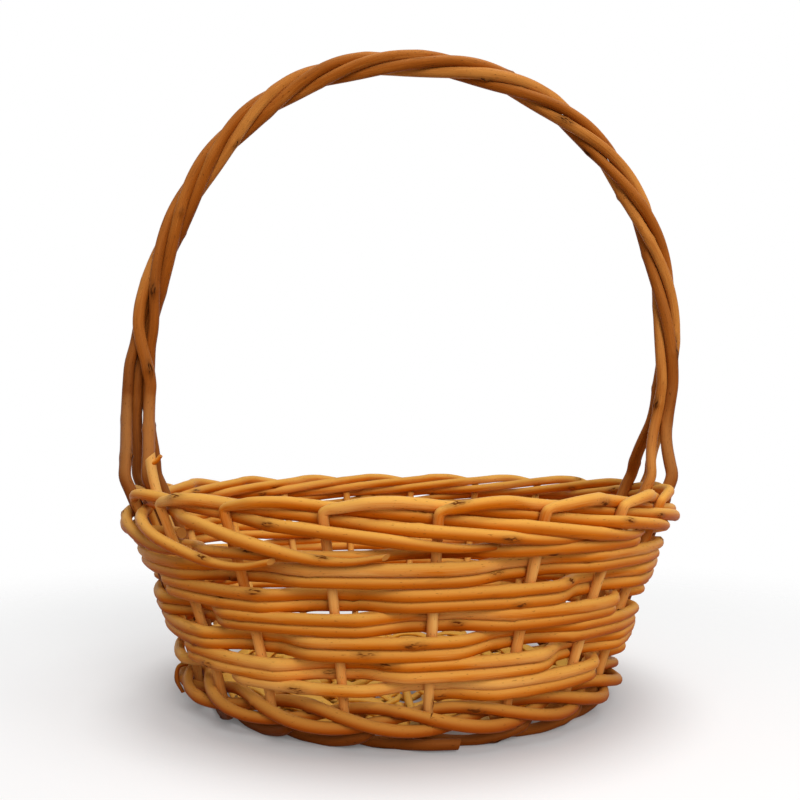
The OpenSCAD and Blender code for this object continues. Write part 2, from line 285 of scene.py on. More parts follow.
# Unevenness of a rod: wander as spacing and size, swellings as size and reach
KNOT_GAP = (28.0, 70.0)
KNOT_LEAD = 60.0
KNOT_TURN = (1.9, 2.9)
KNOT_SIZE = (0.7, 1.25)
KNOT_SWELL = (0.07, 4.0)
KNOT_AWAY = 40.0
ROD_UNEVEN = ((22.0, 0.02), (70.0, 0.03))
ROD_OVAL = 0.035
OVAL_TURN = 60.0
OVAL_START = (0, 6.3)
BUD_SWELL = (0.16, 1.7)
BUD_NARROW = 4
FOLD_PINCH = (0.10, 2.2)
TINT_WANDER = (120.0, 0.12)
GRAIN_SHIFT = 9000.0

# Unevenness of a strip, and powers that square its section
ACROSS_POWER = 0.45
DEEP_POWER = 0.6
WIDTH_WANDER = (26.0, 0.10)
THICK_WANDER = (40.0, 0.12)
STRIP_TINT_WANDER = (60.0, 0.25)
NO_KNOTS = np.array([-100.0])


# Small helpers
def dice(name):
    """Random numbers that are the same each run for a piece of this name."""
    return np.random.default_rng(zlib.crc32(name.encode()))


def unit(v):
    return v / np.linalg.norm(v, axis=-1, keepdims=True)


def ease(x):
    q = np.clip(x, 0.0, 1.0)
    return q * q * (3 - 2 * q)


def mix(a, b, share):
    return a + (b - a) * share


def taper(first, last):
    """Radius along a rod that changes evenly from its first end to its last."""
    return lambda share: mix(first, last, share)


def hump(off, size, reach):
    """Smooth swelling, by distance from its middle."""
    return size * np.exp(-((off / reach) ** 2))


def wander(rng, along, spacing, size):
    """Smooth random offset along a rod, with a fresh value about every spacing millimetres."""
    values = rng.uniform(-size, size, int(along[-1] / spacing) + 4)
    place = along / spacing + 1
    i = place.astype(int)
    x = place - i
    a, b, c, d = (values[i + k] for k in (-1, 0, 1, 2))
    return b + 0.5 * x * (c - a + x * (2 * a - 5 * b + 4 * c - d + x * (3 * (b - c) + d - a)))


# Points on the wall and the floor
def wall_half(axis, z):
    share = (z - BASE_HEIGHT) / (RIM_HEIGHT - BASE_HEIGHT)
    return (BASE[axis] + (RIM[axis] - BASE[axis]) * share) / 2 + 4 * WALL_BELLY * share * (1 - share)


def span_length(z):
    return math.pi * (wall_half(0, z) + wall_half(1, z)) / STAKES


def wall_point(u, z, out):
    """Point on the wall, u stakes round from the first one, and so far out from the stake line."""
    u, z, out = np.broadcast_arrays(np.asarray(u, float), np.asarray(z, float), np.asarray(out, float))
    turn = FIRST_STAKE + u * STAKE_TURN
    a, b = wall_half(0, z), wall_half(1, z)
    normal = unit(np.stack([np.sin(turn) / a, -np.cos(turn) / b], -1))
    return np.stack(
        [a * np.sin(turn) + out * normal[..., 0], -b * np.cos(turn) + out * normal[..., 1], z], -1
    )


def floor_point(u, share, side, z):
    """Point over the floor on the line from the middle to the wall, moved sideways."""
    u, share, side, z = np.broadcast_arrays(*(np.asarray(v, float) for v in (u, share, side, z)))
    turn = FIRST_STAKE + u * STAKE_TURN
    a, b = BASE[0] / 2, BASE[1] / 2
    across = unit(np.stack([a * np.cos(turn), b * np.sin(turn)], -1))
    x = share * a * np.sin(turn) + side * across[..., 0]
    y = -share * b * np.cos(turn) + side * across[..., 1]
    return np.stack([x, y, z], -1)


def tail_turn(k):
    return k - TAIL_LEAD / span_length(BASE_HEIGHT)


# Smooth routes
def smooth_curve(points):
    """Closely spaced points on a smooth curve through the given ones, and the distance along it."""
    p = np.asarray(points, float)
    gap = np.linalg.norm(np.diff(p, axis=0), axis=1) ** 0.5
    knots = np.concatenate([[0], np.cumsum(gap)])
    chord = np.diff(p, axis=0) / gap[:, None]
    slope = np.empty_like(p)
    slope[1:-1] = (chord[:-1] * gap[1:, None] + chord[1:] * gap[:-1, None]) / (gap[:-1] + gap[1:])[:, None]
    slope[0] = chord[0]
    slope[-1] = chord[-1]
    count = int(np.sum(gap**2) / CURVE_STEP) + 2
    t = np.linspace(0, knots[-1], count)
    i = np.clip(np.searchsorted(knots, t, side="right") - 1, 0, len(gap) - 1)
    h = gap[i][:, None]
    x = ((t - knots[i]) / gap[i])[:, None]
    curve = (
        p[i] * (1 + 2 * x) * (1 - x) ** 2
        + p[i + 1] * x * x * (3 - 2 * x)
        + slope[i] * h * x * (1 - x) ** 2
        - slope[i + 1] * h * x * x * (1 - x)
    )
    return curve, distance_along(curve)


def distance_along(curve):
    return np.concatenate([[0], np.cumsum(np.linalg.norm(np.diff(curve, axis=0), axis=1))])


def ring_places(curve, along, knots):
    """Distances at which the rings stand: closer together at bends and at knots."""
    way = unit(np.diff(curve, axis=0))
    turn = np.arccos(np.clip(np.sum(way[1:] * way[:-1], axis=1), -1, 1))
    turn = np.concatenate([[0], turn])
    middle = (along[1:] + along[:-1]) / 2
    near = np.abs(middle[:, None] - knots[None, :]).min(axis=1) < KNOT_REACH
    load = np.diff(along) / np.where(near, KNOT_STEP, RING_STEP) + turn / RING_TURN
    load = np.concatenate([[0], np.cumsum(load)])
    return np.interp(np.linspace(0, load[-1], int(load[-1]) + 2), load, along)


def along_curve(curve, along, places):
    return np.stack([np.interp(places, along, curve[:, axis]) for axis in range(3)], -1)


def headings(points):
    step = np.diff(points, axis=0)
    way = unit(step)
    inner = unit(way[1:] + way[:-1])
    return np.concatenate([way[:1], inner, way[-1:]])


def carried_normals(way, first):
    """Normals carried along a path without twisting."""
    normals = np.empty_like(way)
    n = np.asarray(first, float)
    for i, w in enumerate(way):
        n = unit(n - np.dot(n, w) * w)
        normals[i] = n
    return normals


# Meshes: each maker returns points, faces and the values that the materials read
def sweep(points, normals, offsets, cut):
    """Skin over rings of points, with its two ends cut at the given slants."""
    way = headings(points)
    beside = np.cross(way, normals)
    rings = points[:, None, :] + offsets[..., :1] * normals[:, None, :]
    rings = rings + offsets[..., 1:] * beside[:, None, :]
    rings[0] += cut[0] * offsets[0][:, :1] * way[0]
    rings[-1] += cut[1] * offsets[-1][:, :1] * way[-1]
    count, sides = rings.shape[:2]
    verts = rings.reshape(-1, 3)
    first = np.arange(count - 1)[:, None] * sides + np.arange(sides)[None, :]
    second = np.arange(count - 1)[:, None] * sides + (np.arange(sides)[None, :] + 1) % sides
    faces = np.stack([first, second, second + sides, first + sides], -1).reshape(-1, 4).tolist()
    ends = []
    for ring, turned in ((rings[0], True), (rings[-1], False)):
        start = len(verts) + sum(len(e) for e in ends)
        ends.append(np.concatenate([ring, ring.mean(axis=0)[None]]))
        for k in range(sides):
            a, b = start + k, start + (k + 1) % sides
            faces.append([b, a, start + sides] if turned else [a, b, start + sides])
    return np.concatenate([verts, *ends]), faces, count * sides


def rod(rng, route, radius, tint, first=(0, 0, 1), cut=ROD_CUT, sides=ROD_SIDES, fold=None):
    """Willow rod along a route: uneven, slightly oval, swollen at its knots; one tint or a row along it."""
    curve, along = smooth_curve(route)
    length = along[-1]
    gaps = rng.uniform(*KNOT_GAP, int(length / KNOT_GAP[0]) + 3)
    knots = np.cumsum(gaps) - rng.uniform(0, KNOT_LEAD)
    knot_turn = np.cumsum(rng.uniform(*KNOT_TURN, len(knots)))
    knot_size = rng.uniform(*KNOT_SIZE, len(knots))
    places = ring_places(curve, along, knots)
    points = along_curve(curve, along, places)
    way = headings(points)
    normals = carried_normals(way, first)
    nearest = np.abs(places[:, None] - knots[None, :]).argmin(axis=1)
    off = places - knots[nearest]
    knot_size = knot_size[nearest]
    r = radius(places / length)
    r = r * (1 + sum(wander(rng, places, *uneven) for uneven in ROD_UNEVEN))
    r = r * (1 + knot_size * hump(off, *KNOT_SWELL))
    if fold is not None:
        r = r * (1 - hump(places - fold, *FOLD_PINCH))
    turn = np.arange(sides) * 2 * math.pi / sides
    lean = turn[None, :] - knot_turn[nearest][:, None]
    oval_turn = rng.uniform(*OVAL_START) + places[:, None] / OVAL_TURN
    oval = 1 + ROD_OVAL * np.cos(2 * turn[None, :] + oval_turn)
    bud = knot_size * hump(off, *BUD_SWELL)
    size = r[:, None] * (oval + bud[:, None] * np.clip(np.cos(lean), 0, 1) ** BUD_NARROW)
    offsets = np.stack([size * np.cos(turn), size * np.sin(turn)], -1)
    verts, faces, skin = sweep(points, normals, offsets, cut)
    round_it = np.ones(sides)
    flat = r[:, None] * round_it
    grain = np.stack([places[:, None] * round_it, flat * np.cos(turn), flat * np.sin(turn)], -1)
    knot = np.stack([np.abs(off)[:, None] * round_it, flat * np.sin(lean), flat * (1 - np.cos(lean))], -1)
    knot = knot / knot_size[:, None, None]
    tints = np.atleast_1d(tint)
    tone = np.interp(places / length, np.linspace(0, 1, len(tints)), tints)
    shade = np.clip(tone + wander(rng, places, *TINT_WANDER), 0, 1)[:, None] * round_it
    return part(verts, faces, skin, grain.reshape(-1, 3), knot.reshape(-1, 3), shade.reshape(-1), rng)


def strip(rng, route, width, thick, tint):
    """Flat split strip along a route, with rounded, slightly ragged edges."""
    curve, along = smooth_curve(route)
    places = ring_places(curve, along, NO_KNOTS)
    points = along_curve(curve, along, places)
    way = headings(points)
    up = np.array([0.0, 0.0, 1.0])
    normals = unit(up - (way @ up)[:, None] * way)
    turn = (np.arange(STRIP_SIDES) + 0.5) * 2 * math.pi / STRIP_SIDES
    across = np.sign(np.sin(turn)) * np.abs(np.sin(turn)) ** ACROSS_POWER
    deep = np.sign(np.cos(turn)) * np.abs(np.cos(turn)) ** DEEP_POWER
    w = width / 2 * (1 + wander(rng, places, *WIDTH_WANDER))
    t = thick / 2 * (1 + wander(rng, places, *THICK_WANDER))
    offsets = np.stack([t[:, None] * deep, w[:, None] * across], -1)
    verts, faces, skin = sweep(points, normals, offsets, STRIP_CUT)
    round_it = np.ones(STRIP_SIDES)
    grain = np.stack([places[:, None] * round_it, offsets[..., 0], offsets[..., 1]], -1)
    knot = np.full((skin, 3), KNOT_AWAY)
    shade = np.clip(tint + wander(rng, places, *STRIP_TINT_WANDER), 0, 1)[:, None] * round_it
    return part(verts, faces, skin, grain.reshape(-1, 3), knot, shade.reshape(-1), rng)


def part(verts, faces, skin, grain, knot, shade, rng):
    """Values for the skin, and plain ones for the two cut ends that follow it."""
    rest = len(verts) - skin
    grain = np.concatenate([grain, verts[skin:]]) + [rng.uniform(0, GRAIN_SHIFT), 0, 0]
    return {
        "verts": verts * MM,
        "faces": faces,
        "grain": grain * MM,
        "knot": np.concatenate([knot, np.full((rest, 3), KNOT_AWAY)]),
        "tint": np.concatenate([shade, np.full(rest, CUT_TINT)]),
        "cut": np.concatenate([np.zeros(skin), np.ones(rest)]),
    }


def piece(name, parts, material, slot, *nodes):
    """One object made of the given parts, standing for the named nodes."""
    verts, faces = [], []
    for p in parts:
        start = sum(len(v) for v in verts)
        verts.append(p["verts"])
        faces.extend([[start + i for i in face] for face in p["faces"]])
    mesh = bpy.data.meshes.new(name)
    mesh.from_pydata(np.concatenate(verts).tolist(), [], faces)
    for key, kind, socket in (
        ("grain", "FLOAT_VECTOR", "vector"),
        ("knot", "FLOAT_VECTOR", "vector"),
        ("tint", "FLOAT", "value"),
        ("cut", "FLOAT", "value"),
    ):
        values = np.concatenate([p[key] for p in parts]).astype(np.float32).ravel()
        mesh.attributes.new(key, kind, "POINT").data.foreach_set(socket, values)
    mesh.polygons.foreach_set("use_smooth", np.ones(len(faces), bool))
    mesh.materials.append(material)
    mesh.update()
    obj = bpy.data.objects.new(name, mesh)
    bpy.context.scene.collection.objects.link(obj)
    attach(obj, "root")
    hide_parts(*nodes)


# Noises of the willow materials: stretch along and across the rod, detail and distortion
FIBRES = ((70, 2600, 2600), 3.0, 0.3)
PATCHES = ((22, 120, 120), 2.0, 0.0)
PORES = ((420, 1500, 1500), 1.0, 0.0)
STAINS = ((45, 330, 330), 2.0, 0.6)
STROKES = ((260, 1300, 1300), 1.0, 0.8)

# What the willow materials make of them: levels between which a mark sets in, and its strength
SPECULAR = 0.07
SPECULAR_TINT = (1.0, 0.72, 0.35, 1)
PATCH_SPREAD = 0.9
# Facing range over which upward faces turn paler: painted top light and painted sheen
TOP_LIGHT_FACING = (-0.4, 0.95)
# Height below which the rods darken: painted shade near the floor
SHADE_HEIGHT = 0.034
PORE_LEVELS = (0.66, 0.78)
STAIN_LEVELS = (0.64, 0.80)
STAIN_SHARE = 0.55
KNOT_STRETCH = (0.36, 1.0, 1.0)
KNOT_RAGGED = 1.4
HALO_LEVELS = (2.8, 0.7)
HALO_SHARE = 0.38
MARK_LEVELS = (1.5, 0.7)
STROKE_LEVELS = (0.46, 0.58)
MARK_DARKER = 0.75
GLOSS_SPREAD = 0.22
MARK_DULLER = 0.2
FIBRE_HEIGHT = 0.6
PORE_HEIGHT = 0.3
MARK_HEIGHT = -0.8
BUMP_STRENGTH = 0.35
BUMP_DISTANCE = 0.0006


def add(nodes, kind, **values):
    node = nodes.new(kind)
    for key, value in values.items():
        setattr(node, key, value)
    return node


def willow(name, colours, painted_top_light, painted_floor_shade, knot_colour, cut_colour, roughness, speck, streak):
    """Willow with grain and dark knots; colours from dark to pale, painted top light and painted shade near
    the floor with their strength.
    """
    material = bpy.data.materials.new(name)
    material.use_nodes = True
    nodes, links = material.node_tree.nodes, material.node_tree.links
    shader = nodes["Principled BSDF"]
    shader.inputs["Specular IOR Level"].default_value = SPECULAR
    shader.inputs["Specular Tint"].default_value = SPECULAR_TINT

    def value(name):
        return add(nodes, "ShaderNodeAttribute", attribute_name=name)

    def math_node(operation, *sources, clamp=False):
        node = add(nodes, "ShaderNodeMath", operation=operation, use_clamp=clamp)
        for socket, source in zip(node.inputs, sources):
            if isinstance(source, (int, float)):
                socket.default_value = source
            else:
                links.new(source, socket)
        return node.outputs[0]

    def spread(source, size, middle=0.0):
        """Noise, which is about a half, scaled to this size round the middle."""
        return math_node("MULTIPLY_ADD", source, size, middle - size / 2)

    def noise(scale, detail, distortion):
        stretch = add(nodes, "ShaderNodeVectorMath", operation="MULTIPLY")
        stretch.inputs[1].default_value = scale
        links.new(value("grain").outputs["Vector"], stretch.inputs[0])
        node = add(nodes, "ShaderNodeTexNoise")
        node.inputs["Scale"].default_value = 1.0
        node.inputs["Detail"].default_value = detail
        node.inputs["Distortion"].default_value = distortion
        links.new(stretch.outputs[0], node.inputs["Vector"])
        return node.outputs[0]

    def between(source, low, high):
        node = add(nodes, "ShaderNodeMapRange", interpolation_type="SMOOTHSTEP")
        node.inputs["From Min"].default_value = low
        node.inputs["From Max"].default_value = high
        links.new(source, node.inputs["Value"])
        return node.outputs[0]

    def tinted(share, base, colour):
        node = add(nodes, "ShaderNodeMix", data_type="RGBA")
        links.new(share, node.inputs[0])
        links.new(base, node.inputs[6])
        node.inputs[7].default_value = (*colour, 1)
        return node.outputs[2]

    def upright(output):
        node = add(nodes, "ShaderNodeSeparateXYZ")
        links.new(add(nodes, "ShaderNodeNewGeometry").outputs[output], node.inputs[0])
        return node.outputs["Z"]

    fibres, patches, pores, stains, strokes = (
        noise(*kind) for kind in (FIBRES, PATCHES, PORES, STAINS, STROKES)
    )

    # Colour: tint of the rod, moved by patches and fibres, then paler on upward faces as painted top light
    # and sheen, darker near the floor as painted shade, and specked
    level = math_node("ADD", spread(patches, PATCH_SPREAD), value("tint").outputs["Fac"])
    level = math_node("ADD", level, spread(fibres, streak), clamp=True)
    ramp = add(nodes, "ShaderNodeValToRGB")
    stops = ramp.color_ramp.elements
    stops.new(0.5)
    for stop, place, colour in zip(stops, (0.0, 0.5, 1.0), colours):
        stop.position = place
        stop.color = (*colour, 1)
    links.new(level, ramp.inputs[0])
    # Upward faces turn paler: painted light from above and painted sheen
    painted_light = math_node("MULTIPLY", between(upright("Normal"), *TOP_LIGHT_FACING), painted_top_light[1])
    colour = tinted(painted_light, ramp.outputs[0], painted_top_light[0])
    # Rods darken towards the floor: painted shade under the basket
    shade_near_floor = math_node("MULTIPLY", between(upright("Position"), SHADE_HEIGHT, 0.0), painted_floor_shade[1])
    colour = tinted(shade_near_floor, colour, painted_floor_shade[0])
    dirt = math_node("MULTIPLY", between(pores, *PORE_LEVELS), speck)
    colour = tinted(dirt, colour, knot_colour)
    smear = math_node("MULTIPLY", between(stains, *STAIN_LEVELS), STAIN_SHARE * speck)
    colour = tinted(smear, colour, knot_colour)

    # Knots: short dark strokes along the rod with a browner patch round them
    narrow = add(nodes, "ShaderNodeVectorMath", operation="MULTIPLY")
    narrow.inputs[1].default_value = KNOT_STRETCH
    links.new(value("knot").outputs["Vector"], narrow.inputs[0])
    wide = add(nodes, "ShaderNodeVectorMath", operation="LENGTH")
    links.new(narrow.outputs[0], wide.inputs[0])
    reach = math_node("ADD", wide.outputs["Value"], spread(pores, KNOT_RAGGED))
    halo = math_node("MULTIPLY", between(reach, *HALO_LEVELS), HALO_SHARE)
    colour = tinted(halo, colour, knot_colour)
    mark = math_node("MULTIPLY", between(reach, *MARK_LEVELS), between(strokes, *STROKE_LEVELS))
    colour = tinted(mark, colour, tuple(MARK_DARKER * c for c in knot_colour))
    colour = tinted(value("cut").outputs["Fac"], colour, cut_colour)
    links.new(colour, shader.inputs["Base Color"])

    # Sheen and surface
    dull = math_node("MULTIPLY", mark, MARK_DULLER)
    gloss = math_node("ADD", spread(fibres, GLOSS_SPREAD, roughness), dull)
    links.new(gloss, shader.inputs["Roughness"])
    raised = [(fibres, FIBRE_HEIGHT), (pores, PORE_HEIGHT), (mark, MARK_HEIGHT)]
    fibre_rise, pore_rise, mark_rise = (math_node("MULTIPLY", *pair) for pair in raised)
    height = math_node("ADD", math_node("ADD", fibre_rise, pore_rise), mark_rise)
    bump = add(nodes, "ShaderNodeBump")
    bump.inputs["Strength"].default_value = BUMP_STRENGTH
    bump.inputs["Distance"].default_value = BUMP_DISTANCE
    links.new(height, bump.inputs["Height"])
    links.new(bump.outputs[0], shader.inputs["Normal"])
    return material


# Peeled, unpeeled and split willow
# Paler upward faces in each willow are painted top light and sheen; darker rods near the floor are painted
# shade
NATURAL = willow(
    "natural_willow",
    colours=((0.40, 0.066, 0.001), (0.59, 0.135, 0.003), (0.86, 0.46, 0.130)),
    painted_top_light=((0.84, 0.45, 0.09), 0.8),
    painted_floor_shade=((0.30, 0.055, 0.003), 0.8),
    knot_colour=(0.16, 0.035, 0.004),
    cut_colour=(0.50, 0.19, 0.035),
    roughness=0.50,
    speck=0.5,
    streak=0.35,
)
BROWN = willow(
    "brown_willow",
    colours=((0.18, 0.036, 0.003), (0.36, 0.090, 0.008), (0.62, 0.235, 0.045)),
    painted_top_light=((0.64, 0.31, 0.09), 0.32),
    painted_floor_shade=((0.15, 0.028, 0.002), 0.7),
    knot_colour=(0.05, 0.011, 0.002),
    cut_colour=(0.26, 0.085, 0.015),
    roughness=0.46,
    speck=0.6,
    streak=0.75,
)
SPLIT = willow(
    "split_willow",
    colours=((0.62, 0.19, 0.010), (0.88, 0.38, 0.030), (0.95, 0.56, 0.09)),
    painted_top_light=((0.95, 0.61, 0.14), 0.5),
    painted_floor_shade=((0.62, 0.19, 0.010), 0.0),
    knot_colour=(0.26, 0.08, 0.012),
    cut_colour=(0.72, 0.44, 0.15),
    roughness=0.52,
    speck=0.35,
    streak=0.7,
)


# Stakes, rolled over into the border
def stake_route(k, rng):
    tail = [floor_point(tail_turn(k), share, TAIL_LEAD, BASE_HEIGHT) for share in TAIL_SHARES]
    bend = [wall_point(k, BASE_HEIGHT + STAKE_D / 2, 0)]
    upright = [wall_point(k, mix(BASE_HEIGHT, RIM_HEIGHT, q), 0) for q in STAKE_SHARES]
    passed, side, rise = np.array(BORDER_WAY).T
    rise = rise + wander(rng, passed, LOOSE_SPACING, BORDER_LOOSE) * ease(passed / LOOSE_START)
    drop, slack_side = BORDER_SLACK.get(k, (0.0, 0.0))
    slack = drop * np.interp(passed, *SLACK_WAY)
    side, rise = mix(side, slack_side, SLACK_HOLD * ease(slack)), rise - slack
    border = wall_point(k + passed, RIM_HEIGHT + rise * BORDER_STEP, side * BORDER_REACH)
    return np.array(tail + bend + upright + list(border))


def stake_radius(share):
    return np.interp(share, *STAKE_RADII)


def make_stakes():
    for k in range(STAKES):
        name = f"stake_{k + 1}"
        rng = dice(name)
        route = stake_route(k, rng)
        fold = distance_along(route)[FOLD_POINT]
        tint = (STAKE_FOOT_TINT, rng.uniform(*STAKE_TIP_TINTS))
        shape = rod(rng, route, stake_radius, tint, cut=STAKE_CUT, fold=fold)
        piece(f"{name}_rod", [shape], NATURAL, "natural_willow", name)


# Weave
def weave_passed(u):
    """Stakes passed since the rod last went behind one."""
    return (u - WEAVE_START) % WEAVE_CYCLE


def weave_side(u):
    """Distance out from the stake line: wider where the handle rods stand beside the stakes."""
    near = np.minimum(weave_passed(u), WEAVE_CYCLE - weave_passed(u))
    legs = np.array([LEFT_STAKE, LEFT_STAKE + 1, RIGHT_STAKE, RIGHT_STAKE + 1])
    off = np.abs((u[:, None] - legs + STAKES / 2) % STAKES - STAKES / 2).min(axis=1)
    reach = mix(PLAIN_SWING, WEAVE_SWING, ease(2 - off))
    return reach * (2 * ease((near - CROSS_START) / CROSS_WAY) - 1)


def weave_warp(u, z):
    """Rows of a hand-made wall are not quite level: they dip and rise a little together."""
    turn = FIRST_STAKE + u * STAKE_TURN
    share = np.clip((z - WEAVE_LOW) / (WEAVE_HIGH - WEAVE_LOW), 0, 1)
    wave = sum(size * np.sin(times * turn + start) for size, times, start in ROW_WAVES)
    crowd = sum(size * np.sin(2 * math.pi * z / apart + times * turn) for size, apart, times in ROW_CROWDS)
    return 4 * share * (1 - share) * (wave + crowd)


def rod_start(s):
    return WEAVE_START + s * BAND_LEAD


def rod_joint(j):
    return WEAVE_CYCLE * round(WEAVE_SPANS * j / (WEAVE_CYCLE * JOINED_RODS))


def make_weavers():
    for s in range(BAND_RODS):
        for j in range(JOINED_RODS):
            name = f"weaver_{s + 1}_{j + 1}"
            rng = dice(name)
            start, end = rod_start(s) + rod_joint(j), rod_start(s) + rod_joint(j + 1)
            u = np.linspace(start + ROD_ENDS, end - ROD_ENDS, STAKE_STEPS * (end - start) + 1)
            z = WEAVE_LOW + WEAVE_PITCH * (u - rod_start(s)) / STAKES
            along = (u - u[0]) * span_length(WEAVE_MIDDLE)
            out = weave_side(u) + wander(rng, along, *OUT_WANDER)
            bunch = WEAVE_BUNCH * np.sin(2 * math.pi * weave_passed(u) / WEAVE_CYCLE)
            lift = WEAVE_LIFT * ease((z - WEAVE_HIGH) / LIFT_REACH + 1)
            z = z + weave_warp(u, z) + bunch + lift + wander(rng, along, *RISE_WANDER)
            radius = taper(*(WEAVER_RADII if (s + j) % 2 else WEAVER_RADII[::-1]))
            shape = rod(rng, wall_point(u, z, out), radius, rng.uniform(*WEAVER_TINTS), cut=WEAVER_CUT)
            piece(f"{name}_rod", [shape], NATURAL, "natural_willow", name)


def make_wales():
    for s in range(WALE_RODS):
        name = f"wale_rod_{s + 1}"
        rng = dice(name)
        u = np.linspace(WALE_ENDS, STAKES - WALE_ENDS, STAKE_STEPS * STAKES + 1)
        phase = 2 * math.pi / WALE_RODS * (u - s)
        front = (1 - np.cos(phase)) / 2
        z = WALE_HEIGHT + WALE_SWELL * np.sin(phase) - WALE_DIP * front
        out = mix(-WALE_REACH, WALE_OUT, front)
        radius = taper(WALE_RADIUS, WALE_RADIUS)
        shapes = [rod(rng, wall_point(u, z, out), radius, rng.uniform(*WALE_TINTS))]
        if s == 0:
            shapes.append(rod(rng, TWIG, taper(*TWIG_RADII), TWIG_TINT, first=(1, 0, 0), sides=TWIG_SIDES))
        piece(f"{name}_rod", shapes, NATURAL, "natural_willow", name)


# Base
def fan(k, shares):
    return [floor_point(tail_turn(k), share, 0, BASE_HEIGHT) for share in shares]


def knee(place):
    return BUNDLE_END + KNEE_STEP * place


def stick_route(k):
    """Sticks from front to back, then from side to side, then the short one that makes the count odd."""
    out, back = STICK_SHARES, STICK_SHARES[::-1]
    if k < CROSS_STICKS:
        j = k - FRONT_SIDE
        right = 2 * FRONT_SIDE + LONG_STICKS + 1 - j
        left = STAKES - LONG_STICKS - 2 * FRONT_SIDE - 1 - j
        reach = knee(FRONT_SIDE - abs(j))
        middle = [np.array([j * BUNDLE_STEP, f * reach, BASE_HEIGHT + BUNDLE_STEP / 2]) for f in (-1, 1)]
        return np.array(fan(j, out) + middle + fan(right if j >= 0 else left, back))
    if k < CROSS_STICKS + LONG_STICKS:
        i = k - CROSS_STICKS
        y = (i - (LONG_STICKS - 1) / 2) * BUNDLE_STEP
        reach = knee(min(i, LONG_STICKS - 1 - i))
        middle = [np.array([f * reach, y, BASE_HEIGHT - BUNDLE_STEP / 2]) for f in (-1, 1)]
        return np.array(fan(-FRONT_SIDE - 1 - i, out) + middle + fan(FRONT_SIDE + 1 + i, back))
    return np.array(fan(2 * FRONT_SIDE + LONG_STICKS + 2, out))


def binding_point(w):
    """Two rounds of strip, over the sticks from side to side and under the others."""
    groups = (
        FRONT_SIDE + 0.5,
        FRONT_SIDE + LONG_STICKS + 0.5,
        FRONT_SIDE + LONG_STICKS + CROSS_STICKS + 1.5,
        FRONT_SIDE + 2 * LONG_STICKS + CROSS_STICKS + 1.5,
    )
    places = [g + BINDING_RAMP * f for g in groups for f in (-1, 1)]
    sides = [f if i % 2 == 0 else -f for i in range(4) for f in (-1, 1)]
    share = mix(*BINDING_SHARES, w / (2 * STAKES))
    fanned = (share * BASE[0] / 2 - BUNDLE_END) / (STICK_SHARES[2] * BASE[0] / 2 - BUNDLE_END)
    lift = STRIP_SWING - BUNDLE_STEP / 2 * (BINDING_FAN - fanned)
    return floor_point(tail_turn(w), share, 0, BASE_HEIGHT + lift * np.interp(w % STAKES, places, sides))


def make_base():
    sticks = CROSS_STICKS + LONG_STICKS + 1
    for k in range(sticks):
        name = f"base_stick_{k + 1}"
        rng = dice(name)
        shape = rod(rng, stick_route(k), taper(STICK_RADIUS, STICK_RADIUS), rng.uniform(*STICK_TINTS))
        piece(f"{name}_rod", [shape], SPLIT, "split_willow", name)

    shift = TAIL_LEAD / span_length(BASE_HEIGHT) - STRIP_LEAD
    round_pair = 2 * STAKES
    for k in range(BASE_ROUNDS // 2):
        name = f"base_strip_{k + 1}"
        rng = dice(name)
        start, end = round_pair * k + STRIP_ENDS, round_pair * (k + 1) - STRIP_ENDS
        u = np.linspace(start, end, STRIP_STEPS * STAKES) - shift
        share = mix(*STRIP_SHARES, u / (BASE_ROUNDS * STAKES))
        swing = np.cos(math.pi * (u + shift))
        z = BASE_HEIGHT + STRIP_SWING * swing * (1 + STRIP_FLAT - STRIP_FLAT * swing**2)
        shape = strip(rng, floor_point(u, share, 0, z), STRIP_W, STRIP_T, rng.uniform(*STRIP_TINTS))
        piece(f"{name}_split", [shape], SPLIT, "split_willow", name)

    rng = dice("base_binding")
    steps = [k + 0.5 + BINDING_RAMP * f for k in range(round_pair) for f in (-1, 1)]
    route = np.array([binding_point(w) for w in steps])
    shape = strip(rng, route, BINDING_W, STRIP_T, BINDING_TINT)
    piece("base_binding_split", [shape], SPLIT, "split_willow", "base_binding")


def make_foot():
    """Bowed rods, darker at the left as painted shade, each tucked up behind the wale but for one loose end
    at the front.
    """
    shapes = []
    sag = FOOT_HIGH - FOOT_LOW
    for k in range(STAKES):
        rng = dice(f"foot_rod_{k}")
        a = wall_point(k - FOOT_LAP, BASE_HEIGHT, FOOT_INNER)
        b = wall_point(k + 1 + FOOT_LAP, BASE_HEIGHT, FOOT_OUTER)
        half = np.linalg.norm(b - a) / 2
        bow = (half**2 + sag**2) / (2 * sag)
        swing = np.linspace(-1, 1, FOOT_POINTS) * math.asin(half / bow)
        middle, chord = (a + b) / 2, (b - a) / (2 * half)
        route = middle + np.sin(swing)[:, None] * bow * chord
        route[:, 2] = FOOT_LOW + bow * (1 - np.cos(swing))
        loose = k == FOOT_LOOSE
        end = FOOT_LOOSE_END if loose else FOOT_TUCK
        tail = [wall_point(k + 1 + FOOT_LAP + u, FOOT_HIGH + z, FOOT_OUTER + out) for u, z, out in end]
        thick = rng.uniform(*FOOT_RADII)
        radii = (FOOT_INNER_TIP, thick, thick, thick if loose else FOOT_OUTER_TIP)
        # Paler towards the right: painted light from the right side
        tint = rng.uniform(*FOOT_TINTS) + FOOT_RIGHT_LIGHT * ease(middle[0] / FOOT_LIGHT_WAY)
        route = np.concatenate([route[: LOOSE_POINTS if loose else FOOT_POINTS], tail])
        shape = rod(rng, route, lambda share: np.interp(share, FOOT_PLACES, radii), tint)
        shape["verts"][:, 2] = np.maximum(shape["verts"][:, 2], 0)
        shapes.append(shape)
    piece("foot_rods_bowed", shapes, BROWN, "brown_willow", "foot_rods")


